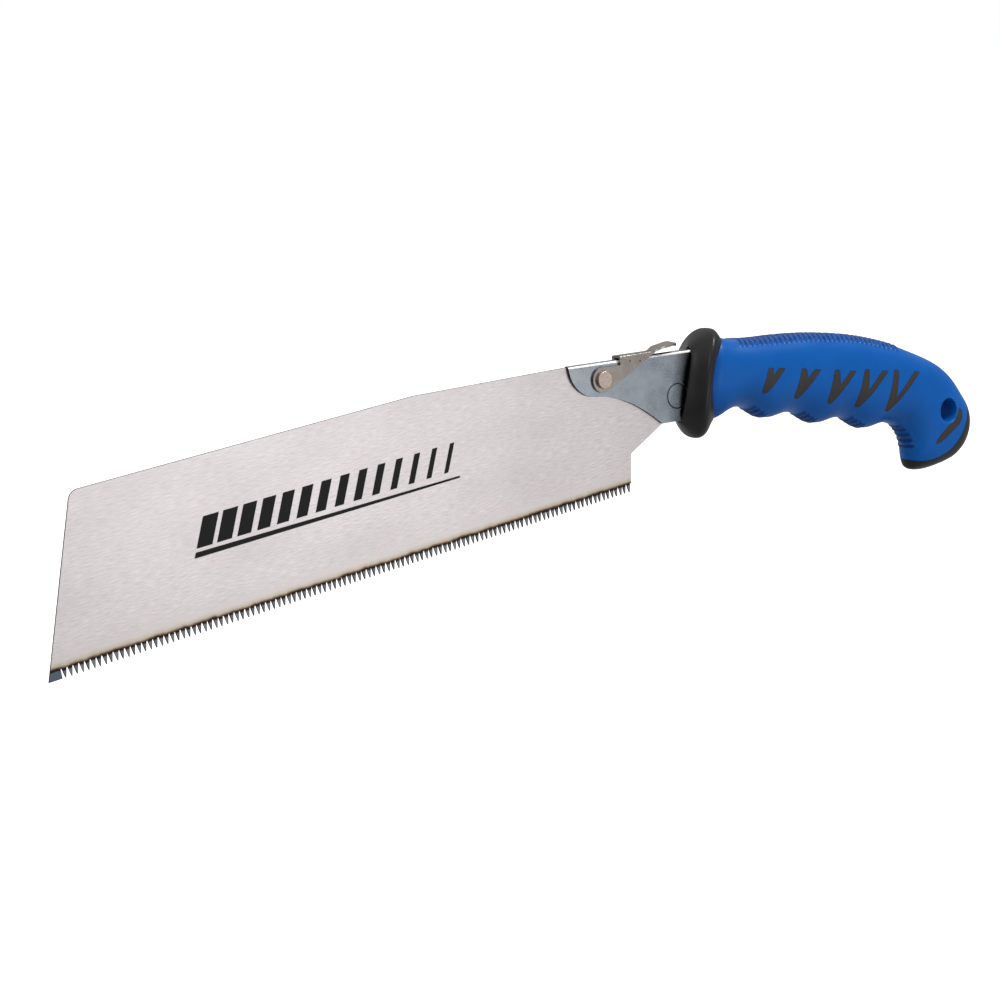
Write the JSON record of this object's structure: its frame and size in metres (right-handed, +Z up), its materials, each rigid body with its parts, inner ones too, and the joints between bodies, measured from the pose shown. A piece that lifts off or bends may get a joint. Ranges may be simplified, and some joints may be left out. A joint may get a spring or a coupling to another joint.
{
  "type": "pull saw",
  "caption": "Pull saw with a deep thin blade held in a folded steel holder by a latch lever, and a soft pistol grip with finger hollows.",
  "frame": {"origin": "centre of the hanging hole through the butt of the grip", "axes": "+X along the tooth line from the toe towards the grip, +Y across the saw along the hanging hole, +Z up from the teeth to the blade's top edge"},
  "size_m": [0.4424, 0.023, 0.0929],
  "materials": {
    "blade_steel": "lengthwise brushed, with heat-darkened tooth roots",
    "zinc_plate": "bright zinc plate, satin",
    "nickel_plate": "satin nickel plate",
    "pin_steel": "peened, slightly rough",
    "plain_steel": "mill",
    "black_core": "matte",
    "black_rubber": "semi-matte soft moulding",
    "blue_grip": "fine satin soft moulding"
  },
  "bodies": {
    "handle": {"blade_holder": "zinc_plate", "tang_spacer": "plain_steel", "tang_pins": "plain_steel", "stop_stud": "zinc_plate", "handle_core": "black_core", "front_collar": "black_rubber", "grip_sleeve": "blue_grip", "v_inlay_1": "black_rubber", "v_inlay_2": "black_rubber", "v_inlay_3": "black_rubber", "v_inlay_4": "black_rubber", "v_inlay_5": "black_rubber", "slash_inlay": "black_rubber", "butt_strip": "black_rubber"},
    "blade": {"blade": "blade_steel"},
    "latch": {"latch_lever": "nickel_plate", "cam_pin": "pin_steel"}
  },
  "joints": [
    {"name": "lever_hinge", "type": "hinge", "parent": "handle", "child": "latch", "pos_m": [-0.18008, 0, 0.05477], "axis": [0, -1, 0], "range_deg": [0, 90]},
    {"name": "blade_slide", "type": "slide", "parent": "handle", "child": "blade", "axis": [-0.9945, 0, 0.1045], "range_m": [0, 0.045]}
  ]
}
